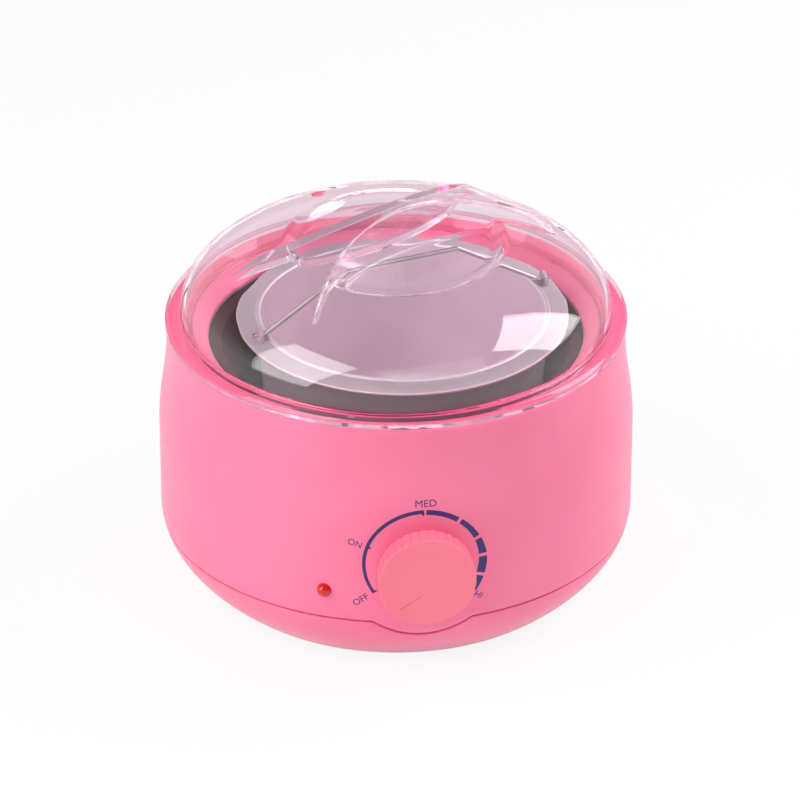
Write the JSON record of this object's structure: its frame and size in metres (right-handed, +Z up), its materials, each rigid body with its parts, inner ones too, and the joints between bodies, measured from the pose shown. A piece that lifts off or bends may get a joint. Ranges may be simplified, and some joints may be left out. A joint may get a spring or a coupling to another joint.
{
  "type": "depilatory wax heater",
  "caption": "Round pink electric wax warmer with a clear domed lid and waisted grip, a lift-out aluminium pot with a wire bail, a front temperature dial and a red indicator.",
  "frame": {"origin": "on the body's axis at table height, inside the standing rim of the base pan", "axes": "+Z up along the body's axis, -Y towards the front dial, +X to the right as seen from the front"},
  "size_m": [0.18, 0.1982, 0.1528],
  "materials": {
    "clear_plastic": "clear, polished",
    "pink_plastic": "glossy moulded pink",
    "salmon_plastic": "satin moulded salmon pink",
    "black_rubber": "matte",
    "zinc_steel": "zinc plated",
    "black_coated_metal": "dark heat-proof coat",
    "mica_board": "pressed mica",
    "brass": "plain",
    "satin_aluminium": "spun satin",
    "plain_aluminium": "machined",
    "steel_wire": "bright drawn wire",
    "ceramic_core": "fired steatite",
    "red_lens": "translucent red",
    "white_plastic": "moulded",
    "lamp_glass": "clear"
  },
  "bodies": {
    "body": {"outer_housing": "pink_plastic", "funnel_ring": "pink_plastic", "screw_bosses": "pink_plastic", "base_pan": "pink_plastic", "rubber_feet": "black_rubber", "base_screws": "zinc_steel", "chamber_gasket": "black_rubber", "heating_chamber": "black_coated_metal", "heater_plate": "mica_board", "heater_clamp_plate": "zinc_steel", "clamp_nut": "brass", "heat_shield": "zinc_steel", "support_posts": "zinc_steel", "post_screws": "zinc_steel", "thermostat_saddle": "plain_aluminium", "thermostat_frame": "zinc_steel", "thermostat_core": "ceramic_core", "thermostat_terminals": "brass", "thermostat_bushing": "brass", "frame_screws": "zinc_steel", "indicator_lens": "red_lens", "lamp_holder": "white_plastic", "neon_lamp": "lamp_glass", "thermal_fuse": "ceramic_core", "terminal_block": "white_plastic", "terminal_screws": "brass", "cord_clamp": "white_plastic", "cord_clamp_screws": "zinc_steel", "cord_inlet": "pink_plastic"},
    "pot": {"inner_pot": "satin_aluminium"},
    "bail": {"pot_bail": "steel_wire"},
    "lid": {"lid": "clear_plastic"},
    "dial": {"control_knob": "salmon_plastic", "thermostat_shaft": "plain_aluminium"}
  },
  "joints": [
    {"name": "dial_turn", "type": "hinge", "parent": "body", "child": "dial", "pos_m": [0, -0.09, 0.05], "axis": [0, 1, 0], "range_deg": [0, 244]},
    {"name": "pot_lift", "type": "slide", "parent": "body", "child": "pot", "axis": [0, 0, 1], "range_m": [0, 0.12]},
    {"name": "lid_lift", "type": "slide", "parent": "pot", "child": "lid", "axis": [0, 0, 1], "range_m": [0, 0.08]},
    {"name": "bail_swing", "type": "hinge", "parent": "pot", "child": "bail", "pos_m": [0.0026, 0, 0.1098], "axis": [0.9588, 0.284, 0], "range_deg": [-60, 60]}
  ]
}
